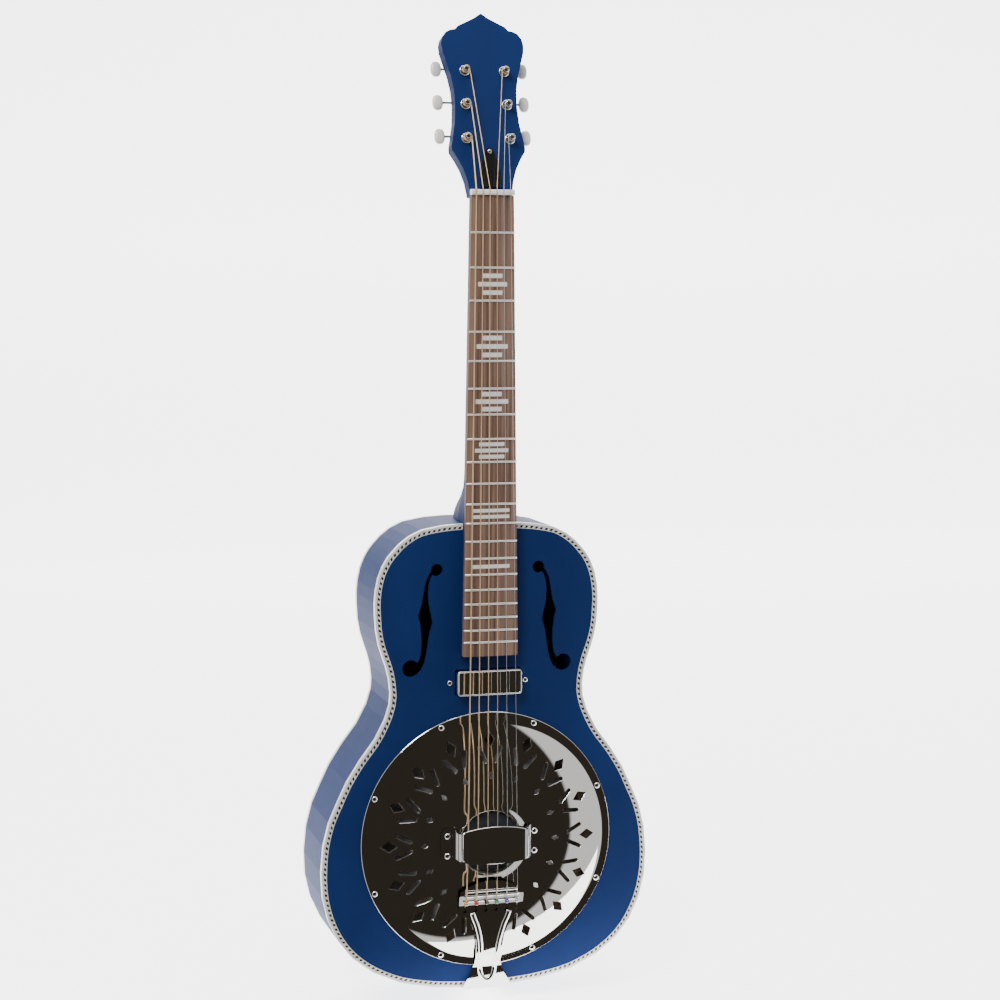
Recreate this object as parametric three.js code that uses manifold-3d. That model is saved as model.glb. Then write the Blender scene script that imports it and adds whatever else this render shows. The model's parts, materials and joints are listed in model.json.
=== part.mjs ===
// Resonator guitar with a spun cone under a perforated metal coverplate.
// The neck stands along +Z, the soundboard faces -Y and the treble side is +X.
// Lengths are millimetres. Inside the file z = 0 is the front edge of the nut,
// y = 0 is the soundboard's outer face and x = 0 is the centre line. The outer
// group then moves the origin to the back of the neck below the headstock.
import * as THREE from 'three';
import { mergeVertices } from 'three/addons/utils/BufferGeometryUtils.js';
import Module from 'manifold-3d';

const wasm = await Module();
wasm.setup();

// driving dimensions
const SCALE_LENGTH = 628.65;
const FRET_COUNT = 20;
const GAP = 0.3;
const NUT_HALF = 21.25;
const LAST_FRET_HALF = 27.35;
const BOARD_END = 444.5;
const NECK_TOP = -5.2;
const BOARD_TOP = -11;
const FRET_TOP = -12;
const NECK_BACK = 10;
const BODY_TOP_Z = -315.5;
const BODY_TAIL_Z = -777.4;
const TAIL_DEPTH = 95;
const HEEL_DEPTH = 85;
const PLATE = 3;
const BINDING_WIDTH = 2.3;
const BINDING_HEIGHT = 5.5;
const COVER_RADIUS = 127.2;
const CONE_HOLE = 121.2;
const SADDLE_STRING_Y = -21.5;
const NUT_STRING_Y = -13.2;
const HEAD_TILT = THREE.MathUtils.degToRad(13);
const HEAD_THICK = 13.5;
const WORM_OFFSET = 6.3;
const WORM_DEPTH = 17.7;
const JACK_Y = 45;

const CONE_Z = -SCALE_LENGTH;

// tuner posts by string number, 1 = thinnest: side of the head, distance up it
const POSTS = [
  { x: 21.6, s: 55.7 },
  { x: 20.5, s: 89.2 },
  { x: 19.6, s: 122.3 },
  { x: -19.6, s: 122.3 },
  { x: -20.5, s: 89.2 },
  { x: -21.6, s: 55.7 },
];
const STRING_RADII = [0.16, 0.2, 0.3, 0.41, 0.53, 0.67];

const metal = (color, roughness) => new THREE.MeshStandardMaterial({ color, roughness, metalness: 1 });
const plain = (color, roughness) => new THREE.MeshStandardMaterial({ color, roughness, metalness: 0 });

const BLUE = plain(0x142f62, 0.45);
const SPRUCE = plain(0xc9a671, 0.7);
const MAHOGANY = plain(0x7b4a2c, 0.6);
const ROSEWOOD = plain(0x6f5042, 0.6);
const MAPLE = plain(0xd8b98a, 0.5);
const IVORY = plain(0xeeeadf, 0.4);
const BLACK = plain(0x151517, 0.4);
const CHROME = metal(0xd9dadb, 0.08);
const NICKEL = metal(0xbfbcb4, 0.25);
const ALUMINIUM = metal(0xc4c7ca, 0.35);
const STEEL = metal(0x8d8f92, 0.35);
const BRONZE = metal(0xb98552, 0.3);

const root = new THREE.Group();
const guitar = new THREE.Group();
const head = new THREE.Group();
guitar.position.y = -NECK_BACK;
head.position.y = NECK_TOP - GAP;
head.rotation.x = Math.PI / 2 - HEAD_TILT;
root.add(guitar);
guitar.add(head);

// ---- helpers -------------------------------------------------------------

function cleaned(geometry) {
  const bare = geometry.clone();
  bare.deleteAttribute('normal');
  bare.deleteAttribute('uv');
  const { array } = bare.attributes.position;
  for (let i = 0; i < array.length; i++) array[i] = Math.round(array[i] * 1e4) / 1e4 + 0;
  return mergeVertices(bare, 1e-5);
}

function solid(geometry) {
  const merged = cleaned(geometry);
  const position = merged.attributes.position;
  const index = merged.index.array;
  const triangles = [];
  let volume = 0;
  const a = new THREE.Vector3();
  const b = new THREE.Vector3();
  const c = new THREE.Vector3();
  for (let i = 0; i < index.length; i += 3) {
    const [p, q, r] = [index[i], index[i + 1], index[i + 2]];
    if (p === q || q === r || r === p) continue;
    triangles.push(p, q, r);
    a.fromBufferAttribute(position, p);
    b.fromBufferAttribute(position, q);
    c.fromBufferAttribute(position, r);
    volume += a.dot(b.cross(c));
  }
  if (volume < 0) triangles.reverse();
  const mesh = new wasm.Mesh({
    numProp: 3,
    vertProperties: new Float32Array(position.array),
    triVerts: new Uint32Array(triangles),
  });
  return new wasm.Manifold(mesh);
}

function geometryOf(manifold) {
  const mesh = manifold.getMesh();
  const geometry = new THREE.BufferGeometry();
  const points = new Float32Array(mesh.numVert * 3);
  for (let i = 0; i < mesh.numVert; i++) {
    for (let k = 0; k < 3; k++) points[3 * i + k] = mesh.vertProperties[mesh.numProp * i + k];
  }
  geometry.setAttribute('position', new THREE.BufferAttribute(points, 3));
  geometry.setIndex(new THREE.BufferAttribute(new Uint32Array(mesh.triVerts), 1));
  return geometry;
}

function add(name, shape, material, parent = guitar) {
  const manifold = shape instanceof THREE.BufferGeometry ? solid(shape) : shape;
  const geometry = geometryOf(manifold).toNonIndexed();
  geometry.computeVertexNormals();
  const mesh = new THREE.Mesh(geometry, material);
  mesh.name = name;
  parent.add(mesh);
}

// flat outline in X and Z, thick from y0 to y1
function slab(points, y0, y1) {
  const shape = new THREE.Shape(points.map(([x, z]) => new THREE.Vector2(x, z)));
  const geometry = new THREE.ExtrudeGeometry(shape, { depth: y1 - y0, bevelEnabled: false });
  return geometry.rotateX(Math.PI / 2).translate(0, y1, 0);
}

// outline in X and Y of the current frame, thick from z0 to z1
function block(points, z0, z1) {
  const shape = new THREE.Shape(points.map(([x, y]) => new THREE.Vector2(x, y)));
  const geometry = new THREE.ExtrudeGeometry(shape, { depth: z1 - z0, bevelEnabled: false });
  return geometry.translate(0, 0, z0);
}

// profile in Y and Z, wide from x0 to x1
function strip(points, x0, x1) {
  const turn = new THREE.Matrix4().makeBasis(
    new THREE.Vector3(0, 1, 0), new THREE.Vector3(0, 0, 1), new THREE.Vector3(1, 0, 0));
  return block(points, x0, x1).applyMatrix4(turn);
}

function box(x0, x1, y0, y1, z0, z1) {
  const geometry = new THREE.BoxGeometry(x1 - x0, y1 - y0, z1 - z0);
  return geometry.translate((x0 + x1) / 2, (y0 + y1) / 2, (z0 + z1) / 2);
}

// turned shape about the Y axis from [radius, height] points
function turned(profile, segments) {
  const points = profile.map(([r, h]) => new THREE.Vector2(r, h));
  return new THREE.LatheGeometry(points, segments);
}

function closed(profile) {
  return [...profile, profile[0]];
}

// round bar along Y between two heights
function rod(radius, y0, y1, segments = 12) {
  const geometry = new THREE.CylinderGeometry(radius, radius, y1 - y0, segments);
  return geometry.translate(0, (y0 + y1) / 2, 0);
}

function circle(x, y, radius, count) {
  const points = [];
  for (let i = 0; i < count; i++) {
    const angle = (2 * Math.PI * i) / count;
    points.push([x + radius * Math.cos(angle), y + radius * Math.sin(angle)]);
  }
  return points;
}

function mirrored(points) {
  return points.map(([x, y]) => [-x, y]).reverse();
}

// skin over rings of equal point count, closed at both ends
function loft(rings) {
  const count = rings[0].length;
  const points = rings.flat();
  const index = [];
  for (let i = 0; i + 1 < rings.length; i++) {
    for (let k = 0; k < count; k++) {
      const a = i * count + k;
      const b = i * count + ((k + 1) % count);
      index.push(a, b, b + count, a, b + count, a + count);
    }
  }
  const last = (rings.length - 1) * count;
  for (let k = 1; k + 1 < count; k++) {
    index.push(0, k + 1, k);
    index.push(last, last + k, last + k + 1);
  }
  const geometry = new THREE.BufferGeometry().setFromPoints(points);
  geometry.setIndex(index);
  return geometry;
}

// round wire through points, each with its own radius
function wire(path, sides) {
  const up = new THREE.Vector3();
  const rings = path.map((point, i) => {
    const before = path[Math.max(i - 1, 0)].at;
    const after = path[Math.min(i + 1, path.length - 1)].at;
    const along = after.clone().sub(before).normalize();
    if (i === 0) up.set(0, -1, 0);
    up.addScaledVector(along, -up.dot(along)).normalize();
    const side = along.clone().cross(up);
    const ring = [];
    for (let k = 0; k < sides; k++) {
      const angle = (2 * Math.PI * k) / sides;
      const offset = side.clone().multiplyScalar(Math.cos(angle)).addScaledVector(up, Math.sin(angle));
      ring.push(point.at.clone().addScaledVector(offset, point.radius));
    }
    return ring;
  });
  return loft(rings);
}

// point on the head: across, up it from the nut, and out of its face
function onHead(x, s, out) {
  const sin = Math.sin(HEAD_TILT);
  const cos = Math.cos(HEAD_TILT);
  return new THREE.Vector3(x, NECK_TOP - GAP + s * sin - out * cos, s * cos + out * sin);
}

// head-frame geometry moved into the guitar's frame
function fromHead(geometry) {
  head.updateMatrix();
  return geometry.applyMatrix4(head.matrix);
}

// ---- body outline --------------------------------------------------------

const HALF_OUTLINE = [
  [0, BODY_TOP_Z], [34, -315.8], [66.5, -320.6], [84.4, -330.3], [96.3, -342.1],
  [103.1, -351.2], [109.6, -366.4], [112.8, -385], [112.8, -402], [110.7, -425],
  [105.5, -442.8], [100.6, -457.6], [97.5, -478], [99.6, -495.5], [112.8, -523.8],
  [134.9, -553.9], [150.3, -584.6], [161.6, -613.5], [166.3, -652], [163, -687.5],
  [149.8, -720.5], [126.3, -747], [86.6, -767.6], [40, -776], [0, BODY_TAIL_Z],
];

function bodyOutline() {
  const left = mirrored(HALF_OUTLINE.slice(1, -1));
  const points = [...HALF_OUTLINE, ...left].map(([x, z]) => new THREE.Vector3(x, 0, z));
  const curve = new THREE.CatmullRomCurve3(points, true, 'centripetal');
  const count = 1.5 * points.length;
  const outline = [];
  for (let i = 0; i < count; i++) {
    const p = curve.getPoint(i / count);
    outline.push([p.x, p.z]);
  }
  return outline;
}

const OUTLINE = bodyOutline();
const HALF_COUNT = OUTLINE.length / 2;

function inset(distance) {
  const count = OUTLINE.length;
  return OUTLINE.map(([x, z], i) => {
    const [ax, az] = OUTLINE[(i + count - 1) % count];
    const [bx, bz] = OUTLINE[(i + 1) % count];
    const length = Math.hypot(bx - ax, bz - az);
    return [x + (distance * (bz - az)) / length, z - (distance * (bx - ax)) / length];
  });
}

// outer face of the back at height z: the body is deeper at the tail
function backY(z) {
  const slope = (HEEL_DEPTH - TAIL_DEPTH) / (BODY_TOP_Z - BODY_TAIL_Z);
  return TAIL_DEPTH + slope * (z - BODY_TAIL_Z);
}

// moves points lying behind y = from so that they follow the sloping back
function leanBack(geometry, from) {
  const position = geometry.attributes.position;
  for (let i = 0; i < position.count; i++) {
    if (position.getY(i) < from) continue;
    position.setY(i, position.getY(i) + backY(position.getZ(i)));
  }
  return geometry;
}

function band(width, start, y0, y1, leaning = false, skip = 1) {
  const thinned = (distance) => inset(distance).filter((point, i) => i % skip === 0);
  const outer = slab(thinned(start), y0, y1);
  const inner = slab(thinned(start + width), y0 - 2, y1 + 2);
  if (!leaning) return solid(outer).subtract(solid(inner));
  return solid(leanBack(outer, -50)).subtract(solid(leanBack(inner, -50)));
}

// ---- body ----------------------------------------------------------------

function soundHole(side) {
  const stem = [
    [51.5, -359.8], [53.9, -356.7], [59, -363.4], [62.6, -370.7], [64.7, -381.8], [66.6, -393],
    [70.1, -403.4], [68.1, -411.6], [66.8, -422.9], [66.8, -434.2], [67.8, -444.1], [70.1, -449],
    [77.4, -455.5], [71.6, -462.7], [67.1, -457.9], [64, -451.8], [61.4, -440.6], [59.5, -428.2],
    [58.3, -420.8], [55.4, -411.5], [59.3, -393.2], [59.9, -382], [59, -373.3], [57.1, -367.1],
    [53.9, -362.9],
  ];
  const place = (points) => points.map(([x, z]) => [side * x, z]);
  const upper = solid(slab(place(circle(51.5, -359.8, 6, 14)), -5, 10));
  const lower = solid(slab(place(circle(77.4, -455.5, 8.4, 16)), -5, 10));
  return solid(slab(place(stem), -5, 10)).add(upper).add(lower);
}

function soundboard() {
  let board = solid(slab(inset(BINDING_WIDTH + GAP), 0, PLATE));
  board = board.subtract(solid(rod(CONE_HOLE, -5, 10, 40).translate(0, 0, CONE_Z)));
  board = board.subtract(soundHole(1)).subtract(soundHole(-1));
  board = board.subtract(solid(box(-33.1, 33.1, -5, 10, -484, -458.4)));
  for (const side of [-1, 1]) {
    board = board.subtract(solid(rod(1.6, -5, 10, 8).translate(38.4 * side, 0, -471.3)));
  }
  return board;
}

function rim(side) {
  const outer = OUTLINE.slice(0, HALF_COUNT + 1);
  const inner = inset(BINDING_WIDTH).slice(0, HALF_COUNT + 1);
  const ring = [...outer, ...inner.reverse()].map(([x, z]) => [side * Math.max(x, 0.2), z]);
  const geometry = leanBack(slab(ring, BINDING_HEIGHT + GAP, 20), 15);
  const position = geometry.attributes.position;
  for (let i = 0; i < position.count; i++) {
    if (position.getY(i) > 30) position.setY(i, position.getY(i) - 20 - BINDING_HEIGHT - GAP);
  }
  const opening = rod(6.3, -20, 20).rotateX(Math.PI / 2).translate(0, JACK_Y, BODY_TAIL_Z);
  return solid(geometry).subtract(solid(opening));
}

function bodyBlock(half, z0, z1) {
  const geometry = box(-half, half, 12.4, 72, z0, z1);
  return solid(geometry);
}

function tailBlock() {
  const bore = rod(6.3, -20, 20).rotateX(Math.PI / 2).translate(0, JACK_Y, BODY_TAIL_Z + 10);
  return bodyBlock(28, BODY_TAIL_Z + 4.6, BODY_TAIL_Z + 18).subtract(solid(bore));
}

function soundwell() {
  const profile = [[121.3, 3.3], [129, 3.3], [129, 30], [111, 30], [111, 22.3], [121.3, 22.3]];
  return turned(closed(profile), 32).translate(0, 0, CONE_Z);
}

function backBrace(half, z) {
  return leanBack(box(-half, half, -13.3, -3.3, z - 4, z + 4), -50);
}

function addBody() {
  add('soundboard', soundboard(), BLUE);
  add('back', leanBack(slab(inset(BINDING_WIDTH + GAP), -PLATE, 0), -50), BLUE);
  add('rim_bass', rim(-1), BLUE);
  add('rim_treble', rim(1), BLUE);
  add('top_binding', band(BINDING_WIDTH, 0, 0, BINDING_HEIGHT), IVORY);
  add('back_binding', band(BINDING_WIDTH, 0, -BINDING_HEIGHT, 0, true), IVORY);
  add('lining_top', band(6, BINDING_WIDTH + 2, PLATE + GAP, 12, false, 2), SPRUCE);
  add('lining_back', band(6, BINDING_WIDTH + 2, -12, -PLATE - GAP, true, 2), SPRUCE);
  add('neck_block', bodyBlock(33, -360, BODY_TOP_Z - 3.2), MAHOGANY);
  add('tail_block', tailBlock(), MAHOGANY);
  add('soundwell', soundwell(), MAPLE);
  add('back_brace_upper', backBrace(101, -400), SPRUCE);
  add('back_brace_lower', backBrace(141, -700), SPRUCE);
}

// ---- resonator -----------------------------------------------------------

const COVER_PROFILE = [
  [COVER_RADIUS, -1.5], [119.5, -1.5], [117.5, -5.5], [111, -8.5], [75, -12.8],
  [38.5, -13.2], [31.6, -15.2],
];

function radialPrism(points, radius, angle) {
  const geometry = slab(points, -30, 10).translate(0, 0, radius);
  return solid(geometry.rotateY(angle).translate(0, 0, CONE_Z));
}

function coverHoles() {
  const diamond = [[5.2, 0], [0, 8], [-5.2, 0], [0, -8]];
  const small = [[2.6, 0], [0, 3.6], [-2.6, 0], [0, -3.6]];
  const slot = [[1.9, -8.8], [1.9, 8.8], [-1.9, 8.8], [-1.9, -8.8]];
  const lean = THREE.MathUtils.degToRad(20.5);
  const tilted = (sign) => slot.map(([x, z]) => [
    x * Math.cos(lean) + sign * z * Math.sin(lean),
    z * Math.cos(lean) - sign * x * Math.sin(lean)]);
  const sector = Math.PI / 8;
  const spread = THREE.MathUtils.degToRad(5.2);
  const holes = [];
  for (let i = 0; i < 16; i++) {
    const angle = i * sector;
    holes.push(radialPrism(diamond, 101, angle));
    holes.push(radialPrism(small, 66.5, angle));
    holes.push(radialPrism(tilted(1), 87, angle + spread));
    holes.push(radialPrism(tilted(-1), 87, angle - spread));
  }
  return holes;
}

function coverplate() {
  const inner = COVER_PROFILE.map(([r, y]) => [r, y + 1.2]).reverse();
  let plate = solid(turned(closed([...COVER_PROFILE, ...inner]), 32).translate(0, 0, CONE_Z));
  for (const hole of coverHoles()) plate = plate.subtract(hole);
  for (const x of [-44.3, 44.3]) {
    for (const z of [-619.6, -639.3]) {
      plate = plate.subtract(solid(rod(1.6, -30, 10, 8).translate(x, 0, z)));
    }
  }
  return plate;
}

function cone() {
  const front = [[0, -3.2], [36, -3.2], [60, 3.5], [110, 19.8], [114, 21.2], [120.8, 21.2]];
  const rear = front.map(([r, y]) => [r, y + 0.8]).reverse();
  return turned([...front, ...rear], 32).translate(0, 0, CONE_Z);
}

function biscuit() {
  const profile = [[0, -3.5], [30, -3.5], [30, -10.7], [29, -11.5], [0, -11.5]];
  const disc = solid(turned(profile, 24).translate(0, 0, CONE_Z));
  return disc.subtract(solid(box(-28.4, 28.4, -12, -8.3, CONE_Z - 1.8, CONE_Z + 1.8)));
}

function saddle() {
  const top = SADDLE_STRING_Y + 1;
  const profile = [[-8.6, -1.5], [-8.6, 1.5], [top + 1, 1.5], [top, 0.6], [top, -0.6], [top + 1, -1.5]];
  return strip(profile, -28, 28).translate(0, 0, CONE_Z);
}

function handrest() {
  const sheet = [
    [0, -31.5], [30, -31.5], [34.5, -30.8], [36.3, -29], [36.8, -19.5], [39.8, -18.2], [40.4, -15],
    [50.8, -15], [50.8, -13.5], [38.9, -13.5], [38.4, -17], [35.2, -18], [34.8, -28.3], [33.6, -29.3],
    [29.5, -29.8], [0, -29.8],
  ];
  const outer = sheet.slice(1, -1);
  const folded = solid(block([sheet[0], ...outer, sheet[sheet.length - 1], ...mirrored(outer)],
    CONE_Z - 17, CONE_Z + 19));
  const half = [[0, 18.6], [14, 17.9], [26, 16], [36.6, 13.2], [38.6, 15.4], [43, 16.9], [47, 16.2],
    [50.2, 13], [50.8, 9]];
  const quarter = [...half, ...half.map(([x, z]) => [x, -z]).reverse()];
  const rounded = quarter.concat(quarter.slice(1, -1).map(([x, z]) => [-x, z]).reverse());
  const mask = solid(slab(rounded, -40, 0).translate(0, 0, CONE_Z + 0.4));
  let bridge = folded.intersect(mask);
  for (const x of [-44.3, 44.3]) {
    for (const z of [-619.6, -639.3]) {
      bridge = bridge.subtract(solid(rod(1.6, -30, 10, 8).translate(x, 0, z)));
    }
  }
  return bridge;
}

// domed screw with its head on a face at y and its shank going back
function screw(y, headRadius, shankRadius, length) {
  const seat = y - GAP;
  const profile = [
    [0, seat - 1.8], [headRadius * 0.7, seat - 1.5], [headRadius, seat - 0.7], [headRadius, seat],
    [shankRadius, seat], [0, seat + length],
  ];
  return turned(profile, 8);
}

function addResonator() {
  add('cone', cone(), ALUMINIUM);
  add('biscuit', biscuit(), BLUE);
  add('saddle', saddle(), MAPLE);
  add('coverplate', coverplate(), CHROME);
  add('handrest', handrest(), CHROME);
  let number = 1;
  for (const x of [-44.3, 44.3]) {
    for (const z of [-619.6, -639.3]) {
      add(`handrest_screw_${number}`, screw(-15, 2.9, 1.3, 7).translate(x, 0, z), CHROME);
      number += 1;
    }
  }
}

// ---- tailpiece and output jack --------------------------------------------

const TAIL_PATH = [
  [-1.8, -778.9], [-2.6, -778.4], [-2.7, -757], [-5, -750], [-9.3, -744], [-13.2, -722], [-15.4, -701],
  [-16.2, -690], [-18.6, -680], [-19.4, -672], [-18.4, -665.5],
];

function tailpiece() {
  const under = TAIL_PATH.map(([y, z]) => [y + 1.5, z]).reverse();
  under[under.length - 1] = [-0.5, -778.9];
  const sheet = solid(strip([...TAIL_PATH, ...under], -40, 40));
  const half = [
    [24.5, -779], [24.5, -776], [17, -764], [13.1, -752], [13.1, -734], [14.7, -722], [20, -708],
    [26.5, -700.5], [32.4, -695], [32.7, -682], [31.4, -676.5], [25, -671.8], [13, -667.4], [0.5, -665.4],
  ];
  let piece = sheet.intersect(solid(slab([...half, ...mirrored(half)], -30, 10)));
  const flap = [[-24.5, -2.1], [24.5, -2.1], [24.5, 12], [14, 52], [9, 58], [-9, 58], [-14, 52], [-24.5, 12]];
  piece = piece.add(solid(block(flap, -779.2, -777.7)));
  piece = piece.subtract(solid(rod(6.3, -5, 5).rotateX(Math.PI / 2).translate(0, JACK_Y, -778)));
  for (let i = 0; i < 6; i++) {
    const x = tailX(i) * 1.02;
    piece = piece.subtract(solid(slab(circle(x, -696, 2, 8), -30, 0)));
    piece = piece.subtract(solid(box(x - 0.7, x + 0.7, -30, 0, -695, -689)));
  }
  return piece;
}

function jack() {
  const profile = [
    [0, -735], [5.9, -735], [5.9, -779.5], [8.5, -779.5], [8.5, -781.8], [7, -782.5], [7, -791],
    [6.4, -791.6], [3.25, -791.6], [3.25, -745], [0, -745],
  ];
  return turned(profile, 16).rotateX(Math.PI / 2).translate(0, JACK_Y, 0);
}

// ---- pickup ---------------------------------------------------------------

function roundedRectangle(halfX, halfZ, radius, z) {
  const points = [];
  for (const [sx, sz, start] of [[1, 1, 0], [-1, 1, 1], [-1, -1, 2], [1, -1, 3]]) {
    for (let k = 0; k <= 3; k++) {
      const angle = (start + k / 3) * (Math.PI / 2);
      points.push([sx * (halfX - radius) + radius * Math.cos(angle),
        z + sz * (halfZ - radius) + radius * Math.sin(angle)]);
    }
  }
  return points;
}

const PICKUP_Z = -471.2;

function pickupCover() {
  const shell = solid(slab(roundedRectangle(32.5, 12.2, 3, PICKUP_Z), -7.6, 6));
  const top = solid(slab(roundedRectangle(31.7, 11.4, 2.6, PICKUP_Z), -8.5, -7));
  const hollow = solid(slab(roundedRectangle(31.4, 11.1, 2.2, PICKUP_Z), -7.3, 7));
  return shell.add(top).subtract(hollow);
}

function pickupBase() {
  const core = solid(box(-30.5, 30.5, -6.8, 7, PICKUP_Z - 10.4, PICKUP_Z + 10.4));
  let base = core.add(solid(box(-44, 44, 6.4, 8, PICKUP_Z - 6, PICKUP_Z + 6)));
  base = base.add(solid(box(-32.5, 32.5, 6.4, 8, PICKUP_Z - 12.2, PICKUP_Z + 12.2)));
  for (const side of [-1, 1]) {
    base = base.subtract(solid(rod(1.6, 0, 12, 8).translate(38.4 * side, 0, -471.3)));
  }
  return base;
}

function addFittings() {
  add('tailpiece', tailpiece(), CHROME);
  add('end_pin_jack', jack(), NICKEL);
  add('pickup_cover', pickupCover(), CHROME);
  add('pickup_base', pickupBase(), STEEL);
  add('pickup_screw_bass', screw(0, 2.6, 1.2, 11).translate(-38.4, 0, -471.3), CHROME);
  add('pickup_screw_treble', screw(0, 2.6, 1.2, 11).translate(38.4, 0, -471.3), CHROME);
}

// ---- neck -----------------------------------------------------------------

function boardHalf(z) {
  const lastFret = SCALE_LENGTH * (1 - 2 ** (-FRET_COUNT / 12));
  return NUT_HALF + ((LAST_FRET_HALF - NUT_HALF) * -z) / lastFret;
}

function neckRing(z, half, top, back) {
  const ring = [];
  const steps = 12;
  for (let k = 0; k <= steps; k++) {
    const angle = (Math.PI * k) / steps;
    const across = Math.cos(angle);
    const x = half * Math.sign(across) * Math.abs(across) ** 0.85;
    ring.push(new THREE.Vector3(x, top + (back - top) * Math.sin(angle) ** 0.9, z));
  }
  return ring;
}

function neckShaft() {
  const rings = [
    neckRing(24, 21.5, 0.4, 10.6),
    neckRing(7, 21.2, -3.4, 10.2),
    neckRing(5.9, 21.2, NECK_TOP, 10.1),
    neckRing(0, NUT_HALF, NECK_TOP, NECK_BACK),
  ];
  const spine = [
    [-245, 12.6], [-262, 13.8], [-273, 18], [-281, 26], [-288, 39], [-294, 53], [-300, 66],
    [-306, 77], [-311, 83], [BODY_TOP_Z + 0.4, 86],
  ];
  for (const [z, back] of spine) rings.push(neckRing(z, boardHalf(z), NECK_TOP, back));
  return solid(loft(rings));
}

const HALF_HEAD = [
  [20.8, 0.4], [21.2, 4], [23, 15], [26.5, 26], [31.5, 36], [36.3, 43.8], [36.6, 47.5], [34.6, 58],
  [32, 72], [30.7, 90], [31.4, 105], [34, 119], [37.2, 130], [40.6, 142], [41.2, 149], [39.8, 155],
  [36, 160.4], [31.5, 162.6], [26.5, 163.6], [23.6, 167], [16, 170.6], [7.3, 175], [0, 180],
];

function headBlank() {
  const left = mirrored(HALF_HEAD.slice(0, -1));
  const geometry = block([...HALF_HEAD, ...left], -HEAD_THICK, 0);
  return solid(fromHead(geometry));
}

function headHole(x, s, radius, low, high, count) {
  return solid(fromHead(block(circle(x, s, radius, count), low, high)));
}

function neck() {
  const tongue = [[boardHalf(-305), -305], [boardHalf(-BOARD_END), -BOARD_END]];
  let wood = neckShaft().add(headBlank());
  wood = wood.subtract(solid(box(-60, 60, 80.5, 120, -340, -250)));
  wood = wood.add(solid(slab([...tongue, ...mirrored(tongue)], NECK_TOP, -GAP)));
  wood = wood.subtract(solid(box(-3.3, 3.3, -12, 3.4, -300, 12)));
  const pocket = [[5, 12], [5, 24], [3, 34], [-3, 34], [-5, 24], [-5, 12]];
  wood = wood.subtract(solid(fromHead(block(pocket, -7.5, 2))));
  for (const { x, s } of POSTS) wood = wood.subtract(headHole(x, s, 4.7, -20, 5, 12));
  return wood.subtract(headHole(0, 42.7, 1.3, -8, 5, 8));
}

function fret(number) {
  const z = -SCALE_LENGTH * (1 - 2 ** (-number / 12));
  const profile = [[-9.8, -1.1], [-9.8, 1.1], [FRET_TOP, 0.5], [FRET_TOP, -0.5]];
  const half = boardHalf(z) - 0.2;
  return solid(strip(profile, -half, half).translate(0, 0, z));
}

function fingerboard() {
  const bottom = NECK_TOP - GAP;
  const ring = (z) => {
    const half = boardHalf(z);
    const points = [[half, bottom], [half, BOARD_TOP + 0.45], [half * 0.55, BOARD_TOP + 0.12],
      [-half * 0.55, BOARD_TOP + 0.12], [-half, BOARD_TOP + 0.45], [-half, bottom]];
    return points.map(([x, y]) => new THREE.Vector3(x, y, z));
  };
  let board = solid(loft([ring(0), ring(-BOARD_END)]));
  for (let number = 1; number <= FRET_COUNT; number++) board = board.add(fret(number));
  return board;
}

function stringLine(i, z) {
  const share = -z / SCALE_LENGTH;
  const y = NUT_STRING_Y + (SADDLE_STRING_Y - NUT_STRING_Y) * share;
  return new THREE.Vector3(nutX(i) + (saddleX(i) - nutX(i)) * share, y, z);
}

function nutX(i) {
  return 17 - 6.8 * i;
}

function saddleX(i) {
  return 25 - 10 * i;
}

function tailX(i) {
  return 25.9 - 10.36 * i;
}

function nut() {
  const profile = [[NECK_TOP - GAP, 0.3], [-12.6, 0.3], [-13.5, 1.2], [-13.3, 4], [-12.4, 5.5],
    [NECK_TOP - GAP, 5.5]];
  let piece = solid(strip(profile, -21.2, 21.2));
  for (let i = 0; i < 6; i++) {
    const half = STRING_RADII[i] + 0.3;
    const low = NUT_STRING_Y + half;
    piece = piece.subtract(solid(box(nutX(i) - half, nutX(i) + half, -20, low, -5, 10)));
  }
  return piece;
}

function trussRod() {
  const bar = solid(rod(2.4, -296, 4, 8).rotateX(Math.PI / 2).translate(0, 0.2, 0));
  const cap = solid(rod(2.9, 3, 9.5, 6).rotateX(Math.PI / 2).translate(0, 0.2, 0));
  return bar.add(cap);
}

function trussCover() {
  const half = [[10.3, 7.4], [9.6, 20], [7, 34], [4.8, 41], [3.4, 44.6], [0, 46.4]];
  const plate = solid(block([...half, ...mirrored(half.slice(0, -1))], GAP, 2.2));
  return plate.subtract(solid(block(circle(0, 42.7, 1.3, 8), -1, 5)));
}

function addNeck() {
  add('neck', neck(), BLUE);
  add('fingerboard', fingerboard(), ROSEWOOD);
  add('nut', nut(), IVORY);
  add('truss_rod', trussRod(), STEEL);
  add('truss_rod_cover', trussCover(), BLACK, head);
  const pin = screw(-2.2, 2.2, 1, 8).rotateX(-Math.PI / 2).translate(0, 42.7, 0);
  add('truss_cover_screw', pin, NICKEL, head);
}

// ---- tuners ---------------------------------------------------------------

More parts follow.
